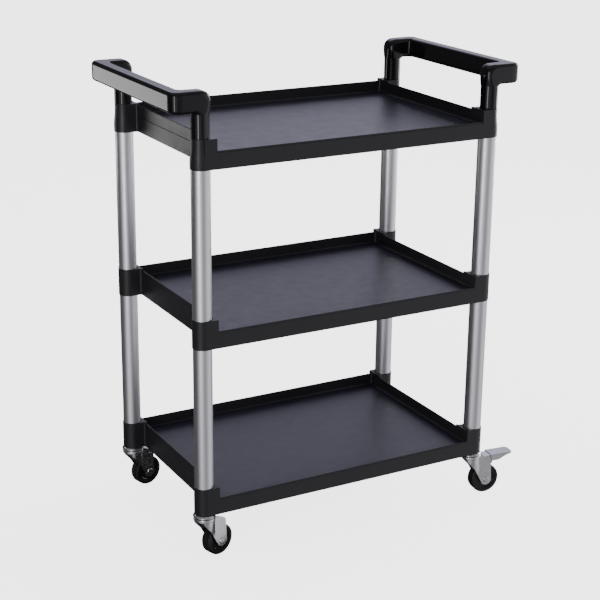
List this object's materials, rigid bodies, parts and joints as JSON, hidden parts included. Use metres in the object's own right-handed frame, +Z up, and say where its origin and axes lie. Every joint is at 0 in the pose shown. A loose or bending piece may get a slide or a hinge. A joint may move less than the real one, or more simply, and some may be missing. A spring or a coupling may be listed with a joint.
{
  "type": "food service trolley",
  "caption": "Food service trolley with shallow moulded trays on aluminium posts, end grip handles, swivel casters and toe brakes.",
  "frame": {"origin": "on the floor, below the middle of the whole trolley's outline seen from above", "axes": "+Z up from the floor; X along the trolley from the left handle to the right handle, beside whose front post is a brake; -Y towards the low-lipped front"},
  "size_m": [0.811, 0.4367, 0.957],
  "materials": {
    "tray_plastic": "satin",
    "handle_plastic": "gloss",
    "post_aluminium": "satin anodised",
    "zinc_steel": "bright zinc plated",
    "wheel_plastic": "satin",
    "tyre_rubber": "satin"
  },
  "bodies": {
    "trolley": {"top_tray": "tray_plastic", "middle_tray": "tray_plastic", "bottom_tray": "tray_plastic", "upper_post_front_left": "post_aluminium", "upper_post_front_right": "post_aluminium", "upper_post_back_left": "post_aluminium", "upper_post_back_right": "post_aluminium", "lower_post_front_left": "post_aluminium", "lower_post_front_right": "post_aluminium", "lower_post_back_left": "post_aluminium", "lower_post_back_right": "post_aluminium", "left_handle": "handle_plastic", "right_handle": "handle_plastic", "stem_sockets": "zinc_steel", "stem_front_left": "zinc_steel", "stem_front_right": "zinc_steel", "stem_back_left": "zinc_steel", "stem_back_right": "zinc_steel"},
    "caster_front_left": {"fork_front_left": "zinc_steel", "axle_front_left": "zinc_steel", "axle_sleeve_front_left": "zinc_steel", "swivel_balls_front_left": "zinc_steel"},
    "wheel_front_left": {"wheel_core_front_left": "wheel_plastic", "tyre_front_left": "tyre_rubber"},
    "caster_front_right": {"fork_front_right": "zinc_steel", "axle_front_right": "zinc_steel", "axle_sleeve_front_right": "zinc_steel", "swivel_balls_front_right": "zinc_steel", "brake_rivet_front_right": "zinc_steel"},
    "wheel_front_right": {"wheel_core_front_right": "wheel_plastic", "tyre_front_right": "tyre_rubber"},
    "brake_front_right": {"brake_pedal_front_right": "zinc_steel"},
    "caster_back_left": {"fork_back_left": "zinc_steel", "axle_back_left": "zinc_steel", "axle_sleeve_back_left": "zinc_steel", "swivel_balls_back_left": "zinc_steel", "brake_rivet_back_left": "zinc_steel"},
    "wheel_back_left": {"wheel_core_back_left": "wheel_plastic", "tyre_back_left": "tyre_rubber"},
    "brake_back_left": {"brake_pedal_back_left": "zinc_steel"},
    "caster_back_right": {"fork_back_right": "zinc_steel", "axle_back_right": "zinc_steel", "axle_sleeve_back_right": "zinc_steel", "swivel_balls_back_right": "zinc_steel"},
    "wheel_back_right": {"wheel_core_back_right": "wheel_plastic", "tyre_back_right": "tyre_rubber"}
  },
  "joints": [
    {"name": "swivel_front_left", "type": "hinge", "parent": "trolley", "child": "caster_front_left", "pos_m": [-0.34175, -0.1855, 0.0947], "axis": [0, 0, 1], "continuous": true},
    {"name": "wheel_spin_front_left", "type": "hinge", "parent": "caster_front_left", "child": "wheel_front_left", "pos_m": [-0.30968, -0.17582, 0.033], "axis": [-0.289, 0.9573, 0], "continuous": true},
    {"name": "swivel_front_right", "type": "hinge", "parent": "trolley", "child": "caster_front_right", "pos_m": [0.30725, -0.1855, 0.0947], "axis": [0, 0, 1], "continuous": true},
    {"name": "wheel_spin_front_right", "type": "hinge", "parent": "caster_front_right", "child": "wheel_front_right", "pos_m": [0.34048, -0.18976, 0.033], "axis": [0.1271, 0.9919, 0], "continuous": true},
    {"name": "brake_front_right", "type": "hinge", "parent": "caster_front_right", "child": "brake_front_right", "pos_m": [0.34296, -0.19007, 0.0775], "axis": [0.1271, 0.9919, 0], "range_deg": [0, 14]},
    {"name": "swivel_back_left", "type": "hinge", "parent": "trolley", "child": "caster_back_left", "pos_m": [-0.34175, 0.1855, 0.0947], "axis": [0, 0, 1], "continuous": true},
    {"name": "wheel_spin_back_left", "type": "hinge", "parent": "caster_back_left", "child": "wheel_back_left", "pos_m": [-0.30923, 0.19355, 0.033], "axis": [-0.2402, 0.9707, 0], "continuous": true},
    {"name": "brake_back_left", "type": "hinge", "parent": "caster_back_left", "child": "brake_back_left", "pos_m": [-0.3068, 0.19415, 0.0775], "axis": [-0.2402, 0.9707, 0], "range_deg": [0, 14]},
    {"name": "swivel_back_right", "type": "hinge", "parent": "trolley", "child": "caster_back_right", "pos_m": [0.30725, 0.1855, 0.0947], "axis": [0, 0, 1], "continuous": true},
    {"name": "wheel_spin_back_right", "type": "hinge", "parent": "caster_back_right", "child": "wheel_back_right", "pos_m": [0.34057, 0.189, 0.033], "axis": [-0.1045, 0.9945, 0], "continuous": true}
  ]
}
